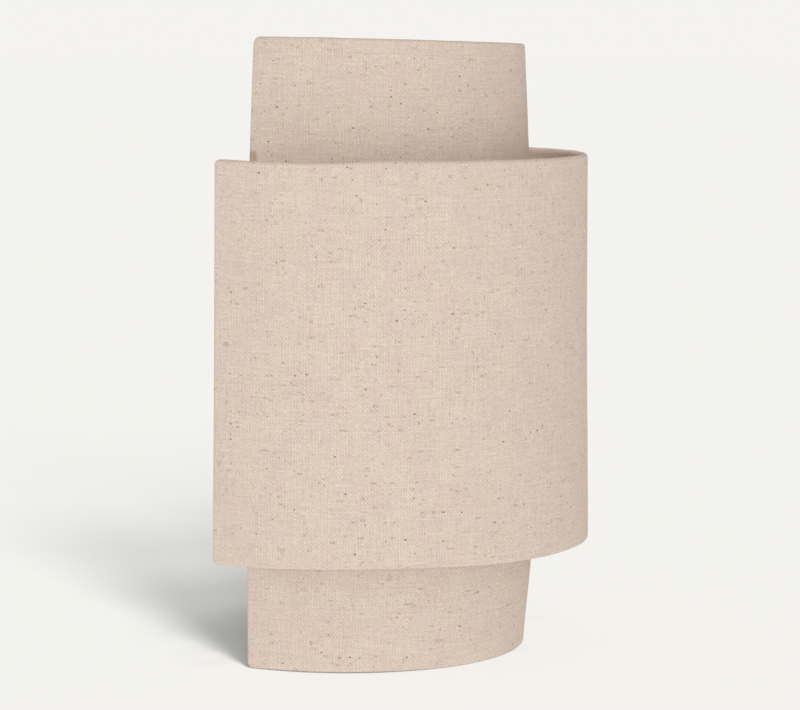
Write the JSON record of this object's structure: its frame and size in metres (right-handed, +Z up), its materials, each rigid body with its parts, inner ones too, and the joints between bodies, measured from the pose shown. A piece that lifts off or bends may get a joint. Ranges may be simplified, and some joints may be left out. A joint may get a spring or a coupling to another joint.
{
  "type": "wall light",
  "caption": "Half-round two-tier linen shade on a wall plate, open above and below, with a screw-in lamp inside.",
  "frame": {"origin": "middle of the wall plate's back face, midway between the two wall screw slots, in the wall's plane", "axes": "+X right along the wall as seen from the room, +Y into the wall, +Z up"},
  "size_m": [0.3, 0.15, 0.38],
  "materials": {
    "linen": "plain-woven natural linen",
    "liner": "matt white sheet glued behind the linen",
    "frame_wire": "white powder coat",
    "plate": "satin white paint",
    "zinc": "bright zinc",
    "rubber": "soft black",
    "moulding": "white moulded plastic",
    "holder": "white moulded plastic",
    "porcelain": "white glaze",
    "brass": "plain",
    "cap_metal": "bright",
    "black_glass": "black",
    "lamp_housing": "white",
    "diffuser": "frosted",
    "brown_wire": "brown insulation",
    "blue_wire": "blue insulation",
    "earth_wire_skin": "green and yellow insulation"
  },
  "bodies": {
    "fixture": {"block_screws": "zinc", "bracket_screws": "zinc", "cable_grommet": "rubber", "centre_contact": "brass", "cover_screws": "zinc", "earth_screw": "brass", "earth_tag": "zinc", "earth_wire": "earth_wire_skin", "holder_dome": "holder", "holder_insert": "porcelain", "holder_sleeve": "holder", "lamp_bracket": "plate", "live_wire": "brown_wire", "lock_washer": "zinc", "neutral_wire": "blue_wire", "nipple": "zinc", "nipple_nut": "zinc", "side_contact": "brass", "terminal_block": "moulding", "terminal_cover": "moulding", "terminal_poles": "brass", "terminal_screws": "zinc", "threaded_shell": "brass", "wall_plate": "plate"},
    "shade": {"hanging_bars": "frame_wire", "inner_back_rails": "frame_wire", "inner_bottom_ring": "frame_wire", "inner_linen": "linen", "inner_liner": "liner", "inner_ribs": "frame_wire", "inner_side_hems": "linen", "inner_side_wires": "frame_wire", "inner_top_ring": "frame_wire", "outer_bottom_ring": "frame_wire", "outer_linen": "linen", "outer_liner": "liner", "outer_ribs": "frame_wire", "outer_side_hems": "linen", "outer_side_wires": "frame_wire", "outer_top_ring": "frame_wire", "tier_spokes": "frame_wire"},
    "bulb": {"bulb_cap": "cap_metal", "bulb_diffuser": "diffuser", "bulb_housing": "lamp_housing", "bulb_insulator": "black_glass", "bulb_tip": "cap_metal"}
  },
  "joints": [
    {"name": "shade_lift", "type": "slide", "parent": "fixture", "child": "shade", "axis": [0, 0, 1], "range_m": [0, 0.012]},
    {"name": "bulb_turn", "type": "hinge", "parent": "fixture", "child": "bulb", "pos_m": [0, -0.052, -0.03], "axis": [0, 0, 1], "range_deg": [0, 900]}
  ]
}
